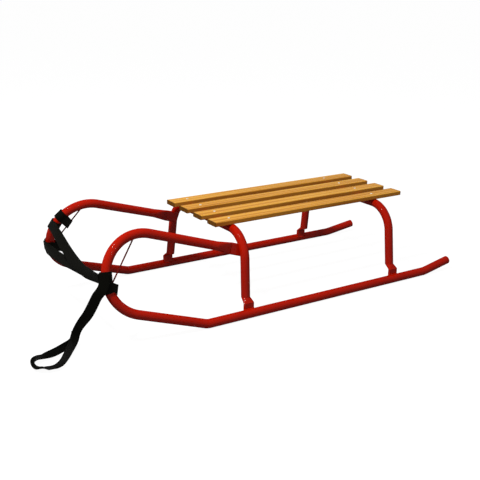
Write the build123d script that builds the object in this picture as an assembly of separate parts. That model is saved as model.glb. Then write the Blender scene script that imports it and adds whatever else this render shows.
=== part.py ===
from build123d import *
from collections import namedtuple
from math import radians, sqrt, tan
import os

os.makedirs("parts", exist_ok=True)

# Frame: +X forward to the noses, +Y the left runner, +Z up, floor at z = 0.

# Tube, shared by the runners and the bows
tube_d = 19.0
tube_r = tube_d / 2
section_turn_shares = (1 / 12, 2 / 12, 4 / 12, 5 / 12, 7 / 12, 8 / 12, 10 / 12, 11 / 12)
weld_sink = 0.6                      # how deep a welded end beds into its neighbour

# Runner: one flat bend, tilted inward about the axis of its rail
rail_half_spacing = 182.9
rail_z = tube_r
loop_tilt_deg = 16.9
tail_tip_x = -441.0
tail_tip_rise = 13.5
tail_kink_x = -362.0
front_kink_x = 235.0
nose_low_x = 430.3
nose_low_rise = 65.7
nose_high_x = 439.5
nose_high_rise = 234.4
upper_end_x = 124.0
upper_end_rise = 129.7
tail_bend_r = 60.0
front_bend_r = 34.0
nose_low_bend_r = 79.0
nose_high_bend_r = 78.0

# Flattened end of the upper tube
flat_height = 25.0
flat_thick = 4.6
flat_length = 32.0
squeeze_length = 34.0
fold_share = 0.45                    # radius of the fold, as a share of the flat's thickness
seat_share = 0.75                    # how far along the flat it is fitted to the leg

# Bow: inverted U, legs splayed, feet flattened and stepped outward
bow_front_x = 132.5                  # at the feet
bow_rear_x = -266.6
front_lean_share = 0.04              # how far the front bow leans back as it rises
rear_lean_share = 0.0
bow_top_z = 172.0                    # axis of the level part
bow_corner_y = 149.1
leg_splay_share = 0.115
bow_bend_r = 60.0
leg_end_z = 40.0
pad_top_z = 31.5
pad_width = 24.0
pad_thick = 6.4
pad_y = 177.2
pad_edge_r = 2.2

# Seat slats
slat_length = 513.0
slat_width = 34.5
slat_thick = 9.9
slat_pitch = 59.3
slat_count = 4
slat_mid_x = -86.8
slat_bed = 0.5                       # how deep the tube beds into the wood
slat_edge_r = 1.6

# Wire across each nose
wire_d = 3.0
wire_top_x = 367.5
wire_top_z = 193.5
wire_low_x = 426.0
wire_low_z = 117.4

# Webbing strap: flat, 20 mm wide, wound round both noses
web_width = 20.0
web_thick = 1.6
web_clear = 0.3                      # between the webbing and the tube or the wire
nose_sag = (web_width / 2) ** 2 / (2 * nose_high_bend_r)   # how far the bent tube leaves a straight bore

# Turns of webbing: where along the runner's axis each lies, and how far its lobe reaches
Wrap = namedtuple("Wrap", "name side place_share lobe_reach")
WRAPS = [
    Wrap("wrap_left_upper", "left", 0.7622, 0.0),
    Wrap("wrap_left_lower", "left", 0.7432, 14.5),
    Wrap("wrap_right_upper", "right", 0.8063, 27.0),
    Wrap("wrap_right_middle", "right", 0.7867, 0.0),
    Wrap("wrap_right_lower", "right", 0.7481, 24.0),
]

# Free webbing, point by point: its middle, and the direction across its width
Point = namedtuple("Point", "x y z across_x across_y across_z")
ROUTES = {
    "cross_strap_upper": [
        Point(434.9, -128, 167.9, -0.46, 0.26, 0.85),
        Point(438, -108, 166.5, -0.5, 0.2, 0.82),
        Point(438.5, -88, 163.6, -0.6, 0.24, 0.72),
        Point(441, -57, 158, -0.7, 0.28, 0.6),
        Point(446, -6, 146.8, -0.75, 0.28, 0.56),
        Point(451, 53, 138.4, -0.72, 0.25, 0.6),
        Point(454, 104, 134.8, -0.5, 0.1, 0.8),
        Point(452.8, 124, 134.6, -0.2, -0.1, 0.95),
        Point(450.8, 138, 134.4, -0.1, -0.25, 0.95),
        Point(449, 148, 134.2, -0.08, -0.29, 0.95),
    ],
    "cross_strap_lower": [
        Point(445.5, -145.5, 116, 0.12, 0.29, 0.95),
        Point(446.8, -128, 114.5, -0.25, 0.22, 0.85),
        Point(447.5, -105, 114, -0.6, 0.18, 0.72),
        Point(447.5, -73, 116, -0.69, 0.18, 0.69),
        Point(447, -20, 119, -0.69, 0.18, 0.69),
        Point(447, 12, 122.5, -0.66, 0.15, 0.72),
        Point(447, 50, 126, -0.6, 0.1, 0.78),
        Point(447, 87, 128.5, -0.5, 0.05, 0.85),
        Point(447, 112, 130.5, -0.3, -0.1, 0.92),
        Point(446.8, 133, 132.5, -0.12, -0.25, 0.95),
        Point(446.4, 148, 134, -0.06, -0.29, 0.95),
    ],
    "tow_lead": [
        Point(441.5, 157, 131, -0.8, 0.58, 0),
        Point(445.5, 158.5, 121, -0.75, 0.6, -0.2),
        Point(453, 157, 111, -0.65, 0.6, -0.48),
        Point(464, 152, 91, -0.65, 0.6, -0.48),
        Point(473, 148, 74, -0.68, 0.55, -0.45),
        Point(482, 143, 57, -0.75, 0.45, -0.45),
        Point(488, 136, 42, -0.86, 0.05, -0.45),
        Point(491.5, 129, 29, -0.84, -0.16, -0.51),
        Point(495, 125, 18, -0.77, -0.18, -0.61),
    ],
    "hand_loop": [
        Point(495, 125, 18, -0.77, -0.18, -0.61),
        Point(506, 142, 13, -0.5, -0.15, -0.85),
        Point(526, 170, 11.5, -0.1, 0, -1),
        Point(546, 193, 11, -0.05, -0.1, -1),
        Point(562, 203, 9.5, -0.25, -0.55, -0.8),
        Point(575, 197, 5, -0.54, -0.83, -0.14),
        Point(585, 183, 3, -0.54, -0.83, 0.02),
        Point(588, 169, 4, -0.79, -0.6, 0.04),
        Point(587, 158, 7.5, -0.85, -0.45, -0.2),
        Point(579, 154, 11.5, -0.64, -0.56, -0.51),
        Point(566, 154, 13, -0.34, -0.52, -0.79),
        Point(553, 152, 12, -0.12, -0.18, -0.97),
        Point(535, 146, 11.5, 0, 0, -1),
        Point(517, 141, 12, 0, 0, -1),
        Point(504, 133.5, 14, 0, 0.1, -1),
    ],
}

full_turn = 360
SIDES = {"left": 1, "right": -1}
Bow = namedtuple("Bow", "name foot_x lean_share")
BOWS = [Bow("front", bow_front_x, front_lean_share), Bow("rear", bow_rear_x, rear_lean_share)]


def loop_plane(side):
    """Plane of one runner: its x runs forward, its y climbs along the tilted loop."""
    tilt = loop_tilt_deg * side
    up = Vector(0, 0, 1).rotate(Axis.X, tilt)
    forward = Vector(1, 0, 0)
    origin = Vector(0, side * rail_half_spacing, rail_z)
    return Plane(origin=origin, x_dir=forward, z_dir=forward.cross(up))


def leg_y(z):
    """Half width of a bow's leg at the height z."""
    return bow_corner_y + leg_splay_share * (bow_top_z - z)


def bow_x(bow, z):
    """Where a bow's axis stands at the height z."""
    return bow.foot_x - bow.lean_share * (z - pad_top_z)


def bow_axis(bow):
    """Axis of one bow from foot to foot."""
    low_x = bow_x(bow, leg_end_z)
    high_x = bow_x(bow, bow_top_z)
    points = [
        (low_x, -leg_y(leg_end_z), leg_end_z),
        (high_x, -bow_corner_y, bow_top_z),
        (high_x, bow_corner_y, bow_top_z),
        (low_x, leg_y(leg_end_z), leg_end_z),
    ]
    return FilletPolyline(*points, radius=bow_bend_r)


def round_section(plane):
    """Round section of the tube, drawn in the same eight edges as the squeezed one."""
    points = [Vector(tube_r, 0).rotate(Axis.Z, share * full_turn) for share in section_turn_shares]
    points = points[-1:] + points
    edges = []
    for one, two in zip(points, points[1:]):
        middle = (one + two).normalized() * tube_r
        edges.append(ThreePointArc(one, middle, two))
    return plane * make_face(edges)


def squeezed_section(plane, width, thick, corner_r):
    """Squeezed section of the tube: flat, with round corners, in eight edges."""
    flat_x = width / 2 - corner_r
    flat_y = thick / 2 - corner_r
    arc_x = flat_x + corner_r * sqrt(1 / 2)
    arc_y = flat_y + corner_r * sqrt(1 / 2)
    half_x = width / 2
    half_y = thick / 2
    edges = [
        Line((half_x, -flat_y), (half_x, flat_y)),
        ThreePointArc((half_x, flat_y), (arc_x, arc_y), (flat_x, half_y)),
        Line((flat_x, half_y), (-flat_x, half_y)),
        ThreePointArc((-flat_x, half_y), (-arc_x, arc_y), (-half_x, flat_y)),
        Line((-half_x, flat_y), (-half_x, -flat_y)),
        ThreePointArc((-half_x, -flat_y), (-arc_x, -arc_y), (-flat_x, -half_y)),
        Line((-flat_x, -half_y), (flat_x, -half_y)),
        ThreePointArc((flat_x, -half_y), (arc_x, -arc_y), (half_x, -flat_y)),
    ]
    return plane * make_face(edges)


def rail_rod():
    """Both straight rails, for coping the feet."""
    length = nose_high_x - tail_tip_x
    rods = []
    for side in SIDES.values():
        centre = Pos(0, side * rail_half_spacing, rail_z)
        rods.append(centre * Rot(0, 90, 0) * Cylinder(tube_r, length))
    return rods


def foot(bow, side):
    """Flattened foot: squeezed from the round leg, stepped outward, standing on the rail."""
    up_leg = Vector(-bow.lean_share, -side * leg_splay_share, 1).normalized()
    forward = (Vector(1, 0, 0) - up_leg * up_leg.X).normalized()
    leg_end = Vector(bow_x(bow, leg_end_z), side * leg_y(leg_end_z), leg_end_z)
    top = Plane(origin=leg_end, x_dir=forward, z_dir=up_leg)
    step = Plane(origin=(bow.foot_x, side * pad_y, pad_top_z), x_dir=(1, 0, 0), z_dir=(0, 0, 1))
    base = step.offset(rail_z - pad_top_z)
    sections = [round_section(top)]
    sections += [squeezed_section(level, pad_width, pad_thick, pad_edge_r) for level in (step, base)]
    return loft(sections, ruled=True)


def make_bow(bow):
    """One bow with both its feet, coped to the rails."""
    axis = bow_axis(bow)
    tube = sweep(Plane(axis @ 0, z_dir=axis % 0) * Circle(tube_r), path=axis)
    feet = [foot(bow, side) - rod for side, rod in zip(SIDES.values(), rail_rod())]
    return tube + feet


def runner_axis(side):
    """Axis of one runner, from the tip of its tail to where its upper end is squeezed."""
    run = Vector(nose_high_x - upper_end_x, nose_high_rise - upper_end_rise).normalized()
    squeezed = flat_length + squeeze_length
    squeeze_x = upper_end_x + run.X * squeezed
    squeeze_rise = upper_end_rise + run.Y * squeezed
    corners = [
        (tail_tip_x, tail_tip_rise),
        (tail_kink_x, 0),
        (front_kink_x, 0),
        (nose_low_x, nose_low_rise),
        (nose_high_x, nose_high_rise),
        (squeeze_x, squeeze_rise),
    ]
    bends = [tail_bend_r, front_bend_r, nose_low_bend_r, nose_high_bend_r]
    return loop_plane(side) * FilletPolyline(*corners, radius=bends)


def make_runner(side, bow, bow_solid):
    """One runner with its flattened upper end, coped to the front bow's leg."""
    axis = runner_axis(side)
    tube = sweep(Plane(axis @ 0, z_dir=axis % 0) * Circle(tube_r), path=axis)

    # the squeezed end turns its flat side to the leg and lies against it
    along = (axis % 1).normalized()
    leg_dir = Vector(bow.lean_share, side * leg_splay_share, -1).normalized()
    out = leg_dir.cross(Vector(1, 0, 0)).normalized()
    out = out if out.Y * side > 0 else out * -1
    out = (out - along * out.dot(along)).normalized()
    start = axis @ 1
    leg_mid_z = start.Z + along.Z * (squeeze_length + flat_length * seat_share)
    on_axis = start + along * squeeze_length
    leg_point = Vector(bow_x(bow, leg_mid_z), side * leg_y(leg_mid_z), leg_mid_z)
    gap = (leg_point - on_axis).dot(out)
    shift = gap - tube_r - flat_thick / 2 + weld_sink
    flat_start = on_axis + out * shift
    across = along.cross(out)
    flats = [Plane(origin=flat_start, x_dir=across, z_dir=along)]
    flats.append(flats[0].offset(flat_length))
    sections = [round_section(Plane(origin=start, x_dir=across, z_dir=along))]
    fold_r = flat_thick * fold_share
    sections += [squeezed_section(level, flat_height, flat_thick, fold_r) for level in flats]
    end = loft(sections, ruled=True)
    return (tube + end) - bow_solid


def wire_rod(side, radius):
    """A round rod along the wire of one nose."""
    lean = tan(radians(loop_tilt_deg))
    ends = []
    for x, z in ((wire_top_x, wire_top_z), (wire_low_x, wire_low_z)):
        ends.append(Vector(x, side * (rail_half_spacing - lean * (z - rail_z)), z))
    line = Line(*ends)
    return sweep(Plane(line @ 0, z_dir=line % 0) * Circle(radius), path=line)


def make_wire(side, runner):
    """The thin wire across one nose, its ends let into the tube."""
    cut = wire_rod(side, wire_d / 2) - runner
    return max(cut.solids(), key=lambda piece: piece.volume)


def make_wrap(wrap):
    """One turn of webbing round the tube, some with a lobe on the loop's inner side for the wire."""
    side = SIDES[wrap.side]
    axis = runner_axis(side)
    along = axis % wrap.place_share
    inward = along.cross(loop_plane(side).z_dir)
    inward = inward if inward.X < 0 else inward * -1
    plane = Plane(origin=axis @ wrap.place_share, x_dir=inward, z_dir=along)
    bore_r = tube_r + web_clear + nose_sag
    lobe_r = wire_d / 2 + web_clear + web_thick
    outline = Circle(bore_r + web_thick)
    if wrap.lobe_reach:
        outline = make_hull(outline.edges() + (Pos(wrap.lobe_reach, 0) * Circle(lobe_r)).edges())
    outline -= Circle(bore_r)
    turn = extrude(plane * outline, web_width / 2, both=True)
    return turn - wire_rod(side, wire_d / 2 + web_clear)


def webbing_sections(points):
    """Flat sections of free webbing, one square to the route at each of its points."""
    places = [Vector(p.x, p.y, p.z) for p in points]
    sections = []
    for index, point in enumerate(points):
        before = places[max(index - 1, 0)]
        after = places[min(index + 1, len(places) - 1)]
        along = (after - before).normalized()
        across = Vector(point.across_x, point.across_y, point.across_z)
        across = (across - along * across.dot(along)).normalized()
        plane = Plane(origin=places[index], x_dir=across, z_dir=along)
        sections.append(plane * Rectangle(web_width, web_thick))
    return sections


nodes = {}
for bow in BOWS:
    nodes["bow_" + bow.name] = make_bow(bow)
for name, side in SIDES.items():
    nodes["runner_" + name] = make_runner(side, BOWS[0], nodes["bow_front"])
    nodes["nose_wire_" + name] = make_wire(side, nodes["runner_" + name])

for wrap in WRAPS:
    nodes[wrap.name] = make_wrap(wrap)

# the hand loop carries on from the lead, so the two share the section where they meet
lead_count = len(ROUTES["tow_lead"])
lead_and_loop = webbing_sections(ROUTES["tow_lead"] + ROUTES["hand_loop"][1:])
sections = {name: webbing_sections(points) for name, points in ROUTES.items()}
sections["tow_lead"] = lead_and_loop[:lead_count]
sections["hand_loop"] = lead_and_loop[lead_count - 1:]
for name, points in ROUTES.items():
    nodes[name] = loft(sections[name], ruled=True)
    places = [Vector(p.x, p.y, p.z) for p in points]
    length = sum((two - one).length for one, two in zip(places, places[1:]))
    share = nodes[name].volume / (length * web_width * web_thick)
    print(name, "length", round(length, 1), "volume against section times length", round(share, 3))

slat_z = bow_top_z + tube_r - slat_bed
for number in range(1, slat_count + 1):
    y = ((slat_count + 1) / 2 - number) * slat_pitch
    place = Pos(slat_mid_x, y, slat_z + slat_thick / 2)
    board = place * Box(slat_length, slat_width, slat_thick)
    board = fillet(board.edges().filter_by(Axis.X), slat_edge_r)
    for bow in BOWS:
        board -= nodes["bow_" + bow.name]
    nodes["slat_" + str(number)] = board

for name, piece in nodes.items():
    solids = piece.solids()
    print(name, "solids", len(solids), "volume", round(sum(s.volume for s in solids)))
    export_step(Compound(solids) if len(solids) > 1 else solids[0], "parts/" + name + ".step")

box = Compound([s for piece in nodes.values() for s in piece.solids()]).bounding_box()
print("box", box.min, box.max)
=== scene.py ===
# %% [markdown]
# # A child's sled of bent red tube
# The sled has two tube runners that curl up and back into closed noses, two tube
# bows that carry four long boards, and a flat black webbing strap. Its rigid pieces
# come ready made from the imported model, in metres, with +X forward, +Y to the left
# and the floor at z = 0. This lesson gives them their finishes, models the webbing,
# the screws and the weld beads, and sets up the studio.

# %% Load the frame
import math

import bpy
from mathutils import Matrix, Vector


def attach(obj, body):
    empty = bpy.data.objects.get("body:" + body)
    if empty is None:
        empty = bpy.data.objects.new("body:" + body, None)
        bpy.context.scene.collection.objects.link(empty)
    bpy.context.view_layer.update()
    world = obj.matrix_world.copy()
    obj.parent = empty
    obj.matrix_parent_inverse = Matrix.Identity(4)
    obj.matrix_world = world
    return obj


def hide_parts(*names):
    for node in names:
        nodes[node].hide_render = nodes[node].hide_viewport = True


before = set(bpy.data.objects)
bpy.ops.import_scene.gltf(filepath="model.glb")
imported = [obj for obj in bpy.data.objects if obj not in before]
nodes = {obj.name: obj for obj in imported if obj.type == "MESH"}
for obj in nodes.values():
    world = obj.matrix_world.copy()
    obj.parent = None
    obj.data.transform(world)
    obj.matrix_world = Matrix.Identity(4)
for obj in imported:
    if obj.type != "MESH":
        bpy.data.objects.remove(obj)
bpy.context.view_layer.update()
MM = 0.001
print("nodes", sorted(nodes))

# %% [markdown]
# ## The camera
# A camera could be aimed by a constraint, but a plain matrix is easier to check.
# The viewing direction is an azimuth, an elevation and a small roll, and the place
# is a point in metres. Both were found by fitting the sled's own edges to the
# photograph, so the sled fills the picture as it does there.

# %% Camera
camera_azimuth = math.radians(146.97)
camera_elevation = math.radians(17.94)
camera_roll = math.radians(0.65)
camera_place = Vector((1.01259, 1.49474, 0.68030))
camera_lens_mm = 61.98
camera_sensor_mm = 36.0

back = Vector((
    math.sin(camera_azimuth) * math.cos(camera_elevation),
    -math.cos(camera_azimuth) * math.cos(camera_elevation),
    math.sin(camera_elevation),
))
right = Vector((0, 0, 1)).cross(back).normalized()
up = back.cross(right)
camera_turn = Matrix((right, up, back)).transposed().to_4x4()
camera_turn = camera_turn @ Matrix.Rotation(camera_roll, 4, "Z")

camera_data = bpy.data.cameras.new("camera")
camera_data.lens = camera_lens_mm
camera_data.sensor_width = camera_sensor_mm
camera_data.clip_end = 200
camera = bpy.data.objects.new("camera", camera_data)
camera.matrix_world = Matrix.Translation(camera_place) @ camera_turn
bpy.context.collection.objects.link(camera)
bpy.context.scene.camera = camera
print("camera looks along", tuple(round(v, 3) for v in -back))

# %% [markdown]
# ## Writing shader maths as plain sums
# Nodes can be wired one by one, but long chains of them are hard to read. The class
# below wraps one socket, so that `mask * 0.5 + 0.1` adds the Math nodes by itself.
# Every other node comes from `node`, which takes its type, its settings and what
# goes into its sockets.

# %% Socket wrapper
class Wire:
    """One socket of a material, with Python's operators adding Math nodes."""

    def __init__(self, shop, socket):
        self.shop = shop
        self.socket = socket

    def _math(self, operation, *terms):
        return self.shop.node("Math", {"operation": operation}, dict(enumerate(terms)))

    def __add__(self, other):
        return self._math("ADD", self, other)

    def __sub__(self, other):
        return self._math("SUBTRACT", self, other)

    def __rsub__(self, other):
        return self._math("SUBTRACT", other, self)

    def __mul__(self, other):
        return self._math("MULTIPLY", self, other)

    def __lt__(self, other):
        return self._math("LESS_THAN", self, other)

    def __gt__(self, other):
        return self._math("GREATER_THAN", self, other)

    def sine(self):
        return self._math("SINE", self)

    __radd__ = __add__
    __rmul__ = __mul__


class Finish:
    """A new material and the nodes in it, or the nodes of a world's tree."""

    def __init__(self, name, tree=None):
        self.name = name
        self.material = None
        self.tree = tree
        if tree is None:
            self.material = bpy.data.materials.new(name)
            self.material.use_nodes = True
            self.tree = self.material.node_tree
        self.tree.nodes.clear()
        self.out = self.tree.nodes.new("ShaderNodeOutputWorld" if tree else "ShaderNodeOutputMaterial")

    def node(self, kind, settings=None, inputs=None, output=0):
        """Adds one node: its settings first, then the values or links of its sockets."""
        made = self.tree.nodes.new("ShaderNode" + kind)
        for key, value in (settings or {}).items():
            if key == "stops":
                fill_ramp(made.color_ramp, value)
            else:
                setattr(made, key, value)
        for key, value in (inputs or {}).items():
            socket = made.inputs[key]
            if isinstance(value, Wire):
                self.tree.links.new(value.socket, socket)
            else:
                socket.default_value = value
        return Wire(self, made.outputs[output])

    def finish(self, shader):
        self.tree.links.new(shader.socket, self.out.inputs["Surface"])
        print("finish", self.name, "nodes", len(self.tree.nodes))
        return self.material


def fill_ramp(ramp, stops):
    """Sets a colour ramp's stops from pairs of place and colour."""
    while len(ramp.elements) < len(stops):
        ramp.elements.new(1.0)
    for element, (place, colour) in zip(ramp.elements, stops):
        element.position = place
        element.color = (*colour, 1.0)


def srgb(red, green, blue):
    """A colour given from 0 to 255, in the linear values that shaders use."""
    parts = []
    for value in (red, green, blue):
        share = value / 255
        parts.append(share / 12.92 if share <= 0.04045 else ((share + 0.055) / 1.055) ** 2.4)
    return tuple(parts)


def blend_colour(shop, factor, one, two):
    """Mixes two colours by a factor."""
    one = one if isinstance(one, Wire) else (*one, 1.0)
    two = two if isinstance(two, Wire) else (*two, 1.0)
    return shop.node("Mix", {"data_type": "RGBA"}, {0: factor, 6: one, 7: two}, output=2)


# %% [markdown]
# ## Glossy red paint
# The tube is sprayed and stoved: an even red with a hard gloss. A thin coat of a high
# index over a rougher base gives small sharp glints, and no pale veil along the
# tube's edges, as a thick coat would. Fine noise gives the faint waviness of spray.
# The paint is darker and rougher in patches along the lowest strip of the tube.

# %% Red paint
paint_red = srgb(183, 23, 1)
paint_deep = srgb(144, 13, 1)
paint_bottom_dark = srgb(104, 24, 16)
# the nose wires carry the frame's own red paint; these darker reds are painted shade on the thin wires
wire_red_shaded = srgb(120, 22, 16)
wire_deep_shaded = srgb(84, 14, 10)
bottom_band_high = 2.2 * MM


def make_paint(name, colour, deep):
    shop = Finish(name)
    place = shop.node("TexCoord", output=3)
    cloud = shop.node("TexNoise", {}, {"Vector": place, "Scale": 22.0, "Detail": 4.0})
    tint = blend_colour(shop, (cloud - 0.35) * 0.8, colour, deep)
    height = shop.node("SeparateXYZ", {}, {"Vector": place}, output=2)
    # darker, rougher patches along the lowest strip of the tube
    bottom_patch_noise = shop.node("TexNoise", {}, {"Vector": place, "Scale": 160.0, "Detail": 5.0})
    under = (height < bottom_band_high) * (bottom_patch_noise > 0.47)
    tint = blend_colour(shop, under * 0.75, tint, paint_bottom_dark)
    orange_peel = shop.node("TexNoise", {}, {"Vector": place, "Scale": 320.0, "Detail": 2.0})
    bump = shop.node("Bump", {}, {"Strength": 0.06, "Distance": 0.0004, "Height": orange_peel})
    inputs = {
        "Base Color": tint,
        "Roughness": 0.3 + under * 0.3 + cloud * 0.06,
        "Normal": bump,
        "Coat Weight": 0.018,
        "Coat Roughness": 0.05,
        "Coat IOR": 3.0,
        "Specular IOR Level": 0.0,
    }
    return shop.finish(shop.node("BsdfPrincipled", {}, inputs))


red_paint = make_paint("red_paint", paint_red, paint_deep)
# a darker copy of the red paint: painted shade on the nose wires
wire_paint_shaded = make_paint("wire_paint_shaded", wire_red_shaded, wire_deep_shaded)

# %% [markdown]
# ## Varnished wood
# The boards are pale hardwood under a honey varnish. Grain can be drawn with a Wave
# texture, but real rings are never even, so here noise that is stretched along the
# board bends a set of bands. Fine pores are a second, much finer stretched noise.
# The sawn ends drink more varnish and are darker, and a few small knots show.
# The sides below the top face are darker as painted shade, where less light falls.

# %% Wood
wood_pale = srgb(236, 178, 72)
wood_mid = srgb(218, 150, 54)
wood_dark = srgb(160, 94, 32)
wood_end = srgb(96, 60, 16)
wood_side_shade = srgb(170, 84, 26)
wood_knot = srgb(92, 46, 14)
board_front_x = 0.1697
board_rear_x = -0.3433
board_top_z = 0.1909
end_deep = 0.7 * MM
shade_side_drop = 1.2 * MM


def make_wood(name):
    shop = Finish(name)
    place = shop.node("TexCoord", output=3)
    long_place = shop.node("Mapping", {}, {"Vector": place, "Scale": (1.6, 30.0, 30.0)})
    drift = shop.node("TexNoise", {}, {"Vector": long_place, "Scale": 1.0, "Detail": 3.0})
    split_x = shop.node("SeparateXYZ", {}, {"Vector": place}, output=0)
    split_y = shop.node("SeparateXYZ", {}, {"Vector": place}, output=1)
    split_z = shop.node("SeparateXYZ", {}, {"Vector": place}, output=2)
    bands = ((split_y * 210.0 + split_z * 60.0 + drift * 9.0) * 2.2).sine() * 0.5 + 0.5
    fine_place = shop.node("Mapping", {}, {"Vector": place, "Scale": (14.0, 620.0, 620.0)})
    pores = shop.node("TexNoise", {}, {"Vector": fine_place, "Scale": 1.0, "Detail": 2.0})
    broad = shop.node("TexNoise", {}, {"Vector": long_place, "Scale": 0.45, "Detail": 1.0})
    grain = bands * 0.4 + broad * 0.8 + (pores - 0.5) * 0.5 - 0.1
    stops = [(0.12, wood_pale), (0.5, wood_mid), (0.9, wood_dark)]
    tint = shop.node("ValToRGB", {"stops": stops}, {0: grain})
    knot_place = shop.node("Mapping", {}, {"Vector": place, "Scale": (9.0, 30.0, 30.0)})
    knot_gap = shop.node("TexVoronoi", {}, {"Vector": knot_place, "Scale": 1.0})
    knot_kind = shop.node("TexVoronoi", {}, {"Vector": knot_place, "Scale": 1.0}, output=1)
    rare = shop.node("SeparateXYZ", {}, {"Vector": knot_kind}, output=0) > 0.62
    knots = (knot_gap + pores * 0.04 < 0.085) * rare
    tint = blend_colour(shop, knots * 0.7, tint, wood_knot)
    end = (split_x > board_front_x - end_deep) + (split_x < board_rear_x + end_deep)
    # painted shade: the board sides below the top face are darkened
    side = split_z < board_top_z - shade_side_drop
    tint = blend_colour(shop, side * 0.45, tint, wood_side_shade)
    tint = blend_colour(shop, end * 0.88, tint, wood_end)
    relief = pores + bands * 0.3
    bump = shop.node("Bump", {}, {"Strength": 0.25, "Distance": 0.0003, "Height": relief})
    inputs = {
        "Base Color": tint,
        "Roughness": 0.38 + grain * 0.12 + end * 0.2,
        "Normal": bump,
        "Coat Weight": 0.01,
        "Coat Roughness": 0.2,
        "Specular IOR Level": 0.02,
    }
    return shop.finish(shop.node("BsdfPrincipled", {}, inputs))


slat_wood = make_wood("slat_wood")

# %% [markdown]
# ## Woven webbing
# The strap is polyester webbing: rows of fine ribs that run along it, crossed by the
# weft. The pattern has to follow the band round every bend, so it reads the band's
# own UV map, whose u runs across the width and v along the length, in metres.

# %% Webbing
web_black = srgb(4, 4, 2)
web_grey = srgb(14, 14, 9)
rib_pitch = 0.0016
weft_pitch = 0.0011


def make_webbing(name):
    shop = Finish(name)
    weave_place = shop.node("UVMap")
    across = shop.node("SeparateXYZ", {}, {"Vector": weave_place}, output=0)
    along = shop.node("SeparateXYZ", {}, {"Vector": weave_place}, output=1)
    turn = 2 * math.pi
    ribs = (across * (turn / rib_pitch)).sine()
    weft = (along * (turn / weft_pitch) + ribs * 1.4).sine()
    weave = (ribs * 0.5 + 0.5) * 0.6 + (weft * 0.5 + 0.5) * 0.4
    place = shop.node("TexCoord", output=3)
    fuzz = shop.node("TexNoise", {}, {"Vector": place, "Scale": 900.0, "Detail": 2.0})
    tint = blend_colour(shop, weave * 0.55 + (fuzz - 0.5) * 0.5, web_black, web_grey)
    relief = weave + fuzz * 0.3
    bump = shop.node("Bump", {}, {"Strength": 0.5, "Distance": 0.0003, "Height": relief})
    inputs = {
        "Base Color": tint,
        "Roughness": 0.72,
        "Normal": bump,
        "Specular IOR Level": 0.03,
    }
    return shop.finish(shop.node("BsdfPrincipled", {}, inputs))


webbing = make_webbing("webbing")

# %% [markdown]
# ## Finishes on the ready-made pieces
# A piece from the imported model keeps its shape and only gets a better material.

# %% Dress the frame
def dress(name, material):
    mesh = nodes[name].data
    mesh.materials.clear()
    mesh.materials.append(material)


RED_NODES = ["bow_front", "bow_rear", "runner_left", "runner_right"]
WIRE_NODES = ["nose_wire_left", "nose_wire_right"]
SLAT_NODES = ["slat_1", "slat_2", "slat_3", "slat_4"]
for name in RED_NODES:
    dress(name, red_paint)
for name in WIRE_NODES:
    dress(name, wire_paint_shaded)
for name in SLAT_NODES:
    dress(name, slat_wood)
print("dressed", len(RED_NODES) + len(WIRE_NODES) + len(SLAT_NODES), "nodes")

# %% [markdown]
# ## The free webbing
# Each free stretch of webbing is a list of points: the band's middle, and the
# direction across its width. The two edges of the band are drawn as smooth curves
# through space with those points as their control points, and the band is the
# surface between them. A flat strap is modelled directly like this, because a
# simulated cloth would lose its crisp selvedges.

# %% Webbing routes
web_width = 20.0 * MM
web_thick = 1.6 * MM
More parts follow.
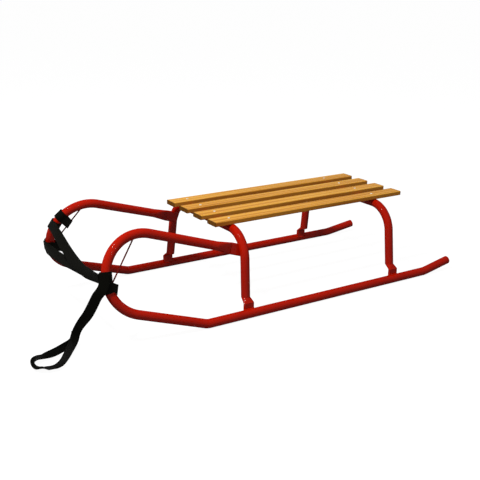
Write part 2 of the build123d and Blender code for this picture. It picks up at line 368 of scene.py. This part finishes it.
# x, y and z of the band's middle in mm, then the direction across its width
ROUTES = {
    "cross_strap_upper": [
        (435.6, -134, 169.1, -0.46, 0.26, 0.85),
        (436.2, -124, 167.9, -0.47, 0.25, 0.84),
        (437.5, -110, 167, -0.52, 0.22, 0.8),
        (440.5, -88, 163.6, -0.62, 0.25, 0.72),
        (444, -57, 158, -0.7, 0.28, 0.6),
        (449, -6, 146.8, -0.75, 0.28, 0.56),
        (454, 53, 138.4, -0.72, 0.25, 0.6),
        (456, 104, 135, -0.28, 0.05, 0.96),
        (453.5, 124, 135.4, 0.05, 0, 1),
        (450.8, 138, 135.6, 0.17, 0.02, 0.98),
        (449, 148, 135.6, 0.17, 0.02, 0.98),
    ],
    "cross_strap_lower": [
        (446, -150, 118.2, 0.12, 0.29, 0.95),
        (446.2, -140, 117.6, 0.05, 0.28, 0.95),
        (447, -128, 117, -0.25, 0.22, 0.85),
        (447.5, -105, 117, -0.6, 0.18, 0.72),
        (447.5, -73, 117, -0.69, 0.18, 0.69),
        (446.5, -20, 118.2, -0.69, 0.18, 0.69),
        (446.5, 12, 122, -0.66, 0.15, 0.72),
        (446.5, 50, 125.7, -0.6, 0.1, 0.78),
        (446.5, 87, 129, -0.4, 0.05, 0.9),
        (446.3, 112, 131.4, 0, 0, 1),
        (446, 133, 133.4, 0.17, 0.02, 0.98),
        (445.6, 148, 134.6, 0.17, 0.02, 0.98),
    ],
    "tow_lead": [
        (439.9, 152, 147.9, 0.8, -0.58, 0),
        (440.6, 154, 141.2, 0.8, -0.58, 0.05),
        (441.5, 157, 131, 0.8, -0.58, 0.1),
        (445.5, 158.5, 121, 0.72, -0.6, 0.3),
        (451, 158, 113, 0.7, -0.58, 0.42),
        (457, 155.4, 105.3, 0.71, -0.47, 0.41),
        (462, 151.2, 91.5, 0.72, -0.48, 0.42),
        (467, 145.9, 77.4, 0.7, -0.49, 0.45),
        (472, 141.1, 65, 0.68, -0.42, 0.5),
        (478, 129.1, 48.8, 0.85, -0.2, 0.45),
        (484, 120.2, 33.3, 0.93, 0.05, 0.36),
        (489, 119.6, 22.5, 0.88, 0.15, 0.42),
        (493, 123.5, 15.5, 0.75, 0, 0.6),
        (509.2, 146.8, 12.9, 0.31, -0.14, 0.94),
        (524.8, 168.4, 11.8, 0.25, -0.15, 0.96),
        (541.4, 190.8, 11.5, 0.06, -0.01, 1),
        (554.1, 200.8, 10.4, -0.05, 0.42, 0.91),
        (564.8, 201.3, 7.9, 0.22, 0.72, 0.66),
        (577, 197.4, 7.4, 0.54, 0.49, 0.69),
        (584.4, 186.1, 4.9, 0.81, 0.56, 0.1),
        (589.3, 177.6, 5.2, 0.82, 0.42, 0.39),
        (590.3, 168.1, 9.6, 0.54, 0.07, 0.84),
        (583.8, 158.9, 10.2, -0.35, 0.25, 0.9),
        (573.5, 149.6, 8.2, -0.23, 0.69, 0.69),
        (562.1, 151.9, 9.9, 0.13, 0.49, 0.86),
        (547.5, 151.2, 10.8, 0.01, 0.26, 0.96),
        (533.4, 146.3, 11.4, -0.01, 0.16, 0.99),
        (520.5, 140.5, 12.4, 0.03, 0.16, 0.99),
        (508.8, 135.9, 13.8, 0.03, 0.21, 0.98),
        (500, 128.5, 15.5, 0.25, 0.15, 0.95),
        (492.5, 121.5, 18.5, 0.5, 0.1, 0.85),
        (488.5, 117.3, 25, 0.8, 0.2, 0.5),
    ],
}
ALSO_REPLACED = {"tow_lead": ["hand_loop"]}
across_count = 6
selvedge_r = 0.35 * MM


def smooth_line(points):
    """The points that a smooth curve passes, with the given points as its control points."""
    curve = bpy.data.curves.new("line", "CURVE")
    curve.dimensions = "3D"
    curve.resolution_u = 6
    spline = curve.splines.new("NURBS")
    spline.points.add(len(points) - 1)
    for handle, point in zip(spline.points, points):
        handle.co = (*point, 1.0)
    spline.order_u = 3
    spline.use_endpoint_u = True
    holder = bpy.data.objects.new("line", curve)
    mesh = bpy.data.meshes.new_from_object(holder)
    line = [vertex.co.copy() for vertex in mesh.vertices]
    bpy.data.objects.remove(holder)
    bpy.data.curves.remove(curve)
    bpy.data.meshes.remove(mesh)
    return line


def edge_points(rows):
    """Control points of the band's middle and of its two edges, in metres."""
    places = [Vector(row[:3]) * MM for row in rows]
    middle, plus, minus = [], [], []
    for index, row in enumerate(rows):
        before = places[max(index - 1, 0)]
        after = places[min(index + 1, len(rows) - 1)]
        along = (after - before).normalized()
        across = Vector(row[3:])
        across = (across - along * across.dot(along)).normalized()
        middle.append(places[index])
        plus.append(places[index] + across * web_width / 2)
        minus.append(places[index] - across * web_width / 2)
    return middle, plus, minus


def make_band(name, rows):
    """A webbing band along its route, with u across and v along, both in metres."""
    middle, plus, minus = [smooth_line(points) for points in edge_points(rows)]
    verts, uvs, faces = [], [], []
    travelled = 0.0
    for index, centre in enumerate(middle):
        if index:
            travelled += (centre - middle[index - 1]).length
        across = (plus[index] - minus[index]).normalized() * web_width
        for step in range(across_count + 1):
            share = step / across_count
            verts.append(centre + across * (share - 0.5))
            uvs.append((share * web_width, travelled))
    row = across_count + 1
    for index in range(len(middle) - 1):
        for step in range(across_count):
            corner = index * row + step
            faces.append((corner, corner + 1, corner + row + 1, corner + row))
    mesh = bpy.data.meshes.new(name)
    mesh.from_pydata(verts, [], faces)
    layer = mesh.uv_layers.new(name="UVMap")
    for loop in mesh.loops:
        layer.data[loop.index].uv = uvs[loop.vertex_index]
    band = bpy.data.objects.new(name, mesh)
    bpy.context.collection.objects.link(band)
    return band, middle, travelled


def pick(thing):
    """Makes one object the only selected and active one."""
    bpy.ops.object.select_all(action="DESELECT")
    thing.select_set(True)
    bpy.context.view_layer.objects.active = thing


def apply_all(thing):
    """Applies every modifier of an object, in order."""
    pick(thing)
    for modifier in list(thing.modifiers):
        bpy.ops.object.modifier_apply(modifier=modifier.name)


def thicken(band):
    """Gives a band its thickness, rounded selvedges and smooth shading."""
    wall = band.modifiers.new("wall", "SOLIDIFY")
    wall.thickness = web_thick
    wall.offset = 0.0
    wall.use_even_offset = True
    soften = band.modifiers.new("soften", "BEVEL")
    soften.width = selvedge_r
    soften.segments = 2
    soften.limit_method = "ANGLE"
    apply_all(band)
    bpy.ops.object.shade_smooth_by_angle(angle=math.radians(50))


for name, rows in ROUTES.items():
    band, path, length = make_band(name + "_band", rows)
    thicken(band)
    band.data.materials.append(webbing)
    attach(band, "root")
    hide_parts(name, *ALSO_REPLACED.get(name, []))
    lowest = min(v.co.z for v in band.data.vertices)
    print(name, "length", round(length, 4), "lowest", round(lowest, 4))

# %% [markdown]
# ## Turns of webbing round the tube
# Where the strap is fastened it goes round the tube, and three of its five turns
# also take in the thin wire behind the tube, which gives them a lobe. A turn could
# be swept round an outline, but a cylinder without ends is already that shape: the
# faces on the wire's side are shrunk to the lobe's radius and moved out to the wire,
# and the faces between stretch into its two flat flanks. The lobe sags a little and
# tips with the wire that it takes in.

# %% Turns
wrap_mid_r = 11.24 * MM
lobe_mid_r = 2.6 * MM
wrap_facets = 56
# name, middle in mm, direction along the tube, direction towards the wire, then the
# lobe's reach in mm, how far it sags along the tube in mm, and its tip in degrees
WRAPS = [
    ("wrap_left_upper", (433.0, 144.6, 135.5),
     (-0.0942, -0.2894, 0.9526), (-0.9956, 0.0274, -0.0901), 0, 0, 0),
    ("wrap_left_lower", (432.4, 150.7, 115.5),
     (0.1909, -0.2854, 0.9392), (-0.9816, -0.0555, 0.1826), 14.5, 9, 28),
    ("wrap_right_upper", (410.4, -130.7, 181.4),
     (-0.7094, 0.2049, 0.6743), (-0.7048, -0.2062, -0.6788), 28.5, 3, -14),
    ("wrap_right_middle", (424.6, -136.3, 162.9),
     (-0.4618, 0.2578, 0.8487), (-0.887, -0.1343, -0.4419), 0, 0, 0),
    ("wrap_right_lower", (432.8, -149.7, 118.9),
     (0.1156, 0.2888, 0.9504), (-0.9933, 0.0336, 0.1106), 29, 21, 0),
]
SELECT_MODE = {"vertices": "VERT", "edges": "EDGE", "polygons": "FACE"}


def select_where(thing, kind, test):
    """Selects the parts of a mesh that pass a test, and enters edit mode."""
    pick(thing)
    bpy.ops.object.mode_set(mode="EDIT")
    bpy.ops.mesh.select_mode(type=SELECT_MODE[kind])
    bpy.ops.mesh.select_all(action="DESELECT")
    bpy.ops.object.mode_set(mode="OBJECT")
    for part in getattr(thing.data, kind):
        part.select = bool(test(part))
    bpy.ops.object.mode_set(mode="EDIT")


def done_editing():
    bpy.ops.object.mode_set(mode="OBJECT")


def settle(thing, place, x_way, z_way):
    """Moves a piece made at the origin to its place, with its x and z turned two ways."""
    z_way = Vector(z_way).normalized()
    x_way = Vector(x_way)
    x_way = (x_way - z_way * x_way.dot(z_way)).normalized()
    turn = Matrix((x_way, z_way.cross(x_way), z_way)).transposed().to_4x4()
    thing.matrix_world = Matrix.Translation(Vector(place)) @ turn
    pick(thing)
    bpy.ops.object.transform_apply(location=True, rotation=True, scale=True)


def make_turn(name, reach, sag, tip):
    """One turn of webbing at the origin, round the z axis, with its lobe towards x."""
    bpy.ops.object.select_all(action="DESELECT")
    bpy.ops.mesh.primitive_cylinder_add(
        vertices=wrap_facets, radius=wrap_mid_r, depth=web_width, end_fill_type="NOTHING")
    turn = bpy.context.active_object
    turn.name = name
    step = 2 * math.pi / wrap_facets
    ring = [round(math.atan2(v.co.y, v.co.x) / step) % wrap_facets for v in turn.data.vertices]
    if reach:
        lobe_half = math.acos((wrap_mid_r - lobe_mid_r) / reach)
        select_where(turn, "vertices", lambda v: abs(math.atan2(v.co.y, v.co.x)) < lobe_half)
        shrink = lobe_mid_r / wrap_mid_r
        bpy.ops.transform.resize(value=(shrink, shrink, 1), center_override=(0, 0, 0))
        bpy.ops.transform.translate(value=(reach, 0, -sag))
        bpy.ops.transform.rotate(value=-tip, orient_axis="Y", center_override=(reach, 0, -sag))
        done_editing()
    place = {}
    for number, vertex in zip(ring, turn.data.vertices):
        place[number] = Vector((vertex.co.x, vertex.co.y))
    travelled = [0.0]
    for number in range(wrap_facets):
        travelled.append(travelled[-1] + (place[(number + 1) % wrap_facets] - place[number]).length)
    layer = turn.data.uv_layers.active
    for face in turn.data.polygons:
        numbers = [ring[turn.data.loops[i].vertex_index] for i in face.loop_indices]
        closing = max(numbers) - min(numbers) > 1
        for i, number in zip(face.loop_indices, numbers):
            height = turn.data.vertices[turn.data.loops[i].vertex_index].co.z
            v = travelled[wrap_facets] if closing and number == 0 else travelled[number]
            layer.data[i].uv = (height + web_width / 2, v)
    return turn


for name, middle, along, inward, reach, sag, tip in WRAPS:
    turn = make_turn(name + "_band", reach * MM, sag * MM, math.radians(tip))
    settle(turn, Vector(middle) * MM, inward, along)
    thicken(turn)
    turn.data.materials.append(webbing)
    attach(turn, "root")
    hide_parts(name)
    print(name, "faces", len(turn.data.polygons))

# %% [markdown]
# ## Screws in the boards
# Two domed screws hold each board down, one over each bow. A dome is half of a
# flattened ball, cut off flat below, and the cross recess is a pair of thin blocks
# taken away with a Boolean. One screw is modelled, and the rest are copies of it,
# each turned a little differently, as a hand leaves them.

# %% Screws
screw_r = 3.0 * MM
dome_high = 1.5 * MM
recess_long, recess_wide, recess_deep = 3.0 * MM, 0.8 * MM, 1.5 * MM
screw_bed = 0.2 * MM
screw_turn_step = math.radians(37)
bow_top_x = (0.1269, -0.2666)
board_y = (-0.08895, -0.02965, 0.02965, 0.08895)

steel_shop = Finish("screw_steel")
steel_place = steel_shop.node("TexCoord", output=3)
noise_inputs = {"Vector": steel_place, "Scale": 900.0, "Detail": 3.0}
steel_dull = steel_shop.node("TexNoise", {}, noise_inputs)
steel_tint = blend_colour(steel_shop, steel_dull, srgb(232, 226, 212), srgb(184, 174, 156))
steel_inputs = {"Base Color": steel_tint, "Metallic": 0.7, "Roughness": steel_dull * 0.2 + 0.38}
screw_steel = steel_shop.finish(steel_shop.node("BsdfPrincipled", {}, steel_inputs))


def copy_of(thing, name):
    """A copy of a piece with its own mesh."""
    twin = thing.copy()
    twin.data = thing.data.copy()
    twin.name = name
    bpy.context.collection.objects.link(twin)
    return twin


def cut_away(thing, tool):
    """Takes one closed piece away from another."""
    saw = thing.modifiers.new("cut", "BOOLEAN")
    saw.operation = "DIFFERENCE"
    saw.object = tool
    apply_all(thing)
    bpy.data.objects.remove(tool)


bpy.ops.object.select_all(action="DESELECT")
bpy.ops.mesh.primitive_uv_sphere_add(segments=32, ring_count=16, radius=screw_r)
screw = bpy.context.active_object
screw.name = "screw_pattern"
bpy.ops.object.mode_set(mode="EDIT")
bpy.ops.mesh.select_all(action="SELECT")
bpy.ops.transform.resize(value=(1, 1, dome_high / screw_r), center_override=(0, 0, 0))
bpy.ops.mesh.bisect(plane_co=(0, 0, 0), plane_no=(0, 0, 1), clear_inner=True, use_fill=True)
done_editing()
for turned in (0, 90):
    bpy.ops.object.select_all(action="DESELECT")
    bpy.ops.mesh.primitive_cube_add(size=1, location=(0, 0, dome_high))
    blade = bpy.context.active_object
    blade.scale = (recess_long, recess_wide, recess_deep)
    blade.rotation_euler = (0, 0, math.radians(turned))
    pick(blade)
    bpy.ops.object.transform_apply(location=True, rotation=True, scale=True)
    cut_away(screw, blade)
pick(screw)
bpy.ops.object.shade_smooth_by_angle(angle=math.radians(35))
screw.data.materials.append(screw_steel)
count = 0
for x in bow_top_x:
    for y in board_y:
        count += 1
        head = copy_of(screw, "screw_" + str(count))
        angle = screw_turn_step * count
        slot_way = (math.cos(angle), math.sin(angle), 0)
        settle(head, (x, y, board_top_z - screw_bed), slot_way, (0, 0, 1))
        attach(head, "root")
bpy.data.objects.remove(screw)
print("screws", count)

# %% [markdown]
# ## Weld beads at the feet
# Each pressed leg end is welded to its rail, and the bead runs round it. A bead
# could be swept along a path, but a torus does it: its two halves are moved apart
# along the rail, which leaves an oblong ring, and a little random shift makes it
# uneven. It lies on the rail's shoulder, so it leans with the rail's surface.

# %% Weld beads
bead_r = 1.25 * MM
bead_bend_r = 4.9 * MM
bead_stretch = 7.9 * MM
bead_lean = math.radians(42.6)
bead_cuts = 9
bead_uneven = 0.12 * MM
bead_y, bead_z = 0.1772, 0.0159
foot_x = (0.1325, -0.2666)

bpy.ops.object.select_all(action="DESELECT")
bpy.ops.mesh.primitive_torus_add(
    major_radius=bead_bend_r, minor_radius=bead_r, major_segments=48, minor_segments=10)
bead = bpy.context.active_object
bead.name = "bead_pattern"
for side in (1, -1):
    select_where(bead, "vertices", lambda v: v.co.x * side > 1e-6)
    bpy.ops.transform.translate(value=(side * bead_stretch, 0, 0))
    done_editing()
place_x = [vertex.co.x for vertex in bead.data.vertices]
select_where(
    bead, "edges", lambda e: abs(place_x[e.vertices[0]] - place_x[e.vertices[1]]) > bead_stretch / 2)
bpy.ops.mesh.subdivide(number_cuts=bead_cuts)
bpy.ops.mesh.select_all(action="SELECT")
bpy.ops.transform.vertex_random(offset=bead_uneven, seed=4)
done_editing()
pick(bead)
bpy.ops.object.shade_smooth()
bead.data.materials.append(red_paint)
for x in foot_x:
    for side in (1, -1):
        place_name = ("front" if x > 0 else "rear") + ("_left" if side > 0 else "_right")
        ring = copy_of(bead, "weld_" + place_name)
        outwards = (0, -side * math.sin(bead_lean), math.cos(bead_lean))
        settle(ring, (x, side * bead_y, bead_z), (1, 0, 0), outwards)
        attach(ring, "root")
bpy.data.objects.remove(bead)
print("weld beads", len(foot_x) * 2)

# %% [markdown]
# ## The studio
# The sled stands on a plain white floor under soft light. The floor could be lit
# until it clips, but that would wash out the sled. Instead part of its white is its
# own, and only seen by the camera and in reflections, and the rest takes the light
# and keeps the sled's soft shadow. The sky beyond it is white to the eye in the same
# way, and lights the sled only a little.

# %% Studio
floor_size = 60.0
floor_own_share = 0.95
world_light = 0.24

bpy.ops.object.select_all(action="DESELECT")
bpy.ops.mesh.primitive_plane_add(size=floor_size, location=(0, 0, -0.0005))
floor = bpy.context.active_object
floor.name = "studio_floor"


def seen_rays(shop):
    """1 for camera, glossy and transmission rays, and 0 for those that only light things."""
    camera_ray, glossy_ray, glass_ray = [shop.node("LightPath", output=n) for n in (0, 3, 6)]
    return camera_ray + glossy_ray + glass_ray


shop = Finish("studio_white")
own_strength = seen_rays(shop) * floor_own_share
own = shop.node("Emission", {}, {"Color": (1, 1, 1, 1), "Strength": own_strength})
matt = shop.node("BsdfDiffuse", {}, {"Color": (0.16, 0.16, 0.16, 1)})
both = shop.node("AddShader", {}, {0: own, 1: matt})
floor.data.materials.append(shop.finish(both))

world = bpy.data.worlds.new("studio")
bpy.context.scene.world = world
world.use_nodes = True
sky = Finish("studio_sky", world.node_tree)
sky_strength = seen_rays(sky) * (1 - world_light) + world_light
sky.finish(sky.node("Background", {}, {"Color": (1, 1, 1, 1), "Strength": sky_strength}))


def softbox(name, place, aim, size, power):
    """A large soft lamp at a place, turned to a point."""
    lamp = bpy.data.lights.new(name, "AREA")
    lamp.shape = "RECTANGLE"
    lamp.size, lamp.size_y = size
    lamp.energy = power
    holder = bpy.data.objects.new(name, lamp)
    turn = (Vector(aim) - Vector(place)).to_track_quat("-Z", "Y")
    holder.matrix_world = Matrix.Translation(place) @ turn.to_matrix().to_4x4()
    bpy.context.collection.objects.link(holder)
    return holder


softbox("key", (1.3, 0.3, 2.15), (0, 0, 0.1), (0.36, 0.3), 48)
softbox("fill", (0.2, 2.2, 1.3), (0.1, 0, 0.1), (0.2, 0.2), 4.5)

scene = bpy.context.scene
scene.view_settings.view_transform = "Standard"
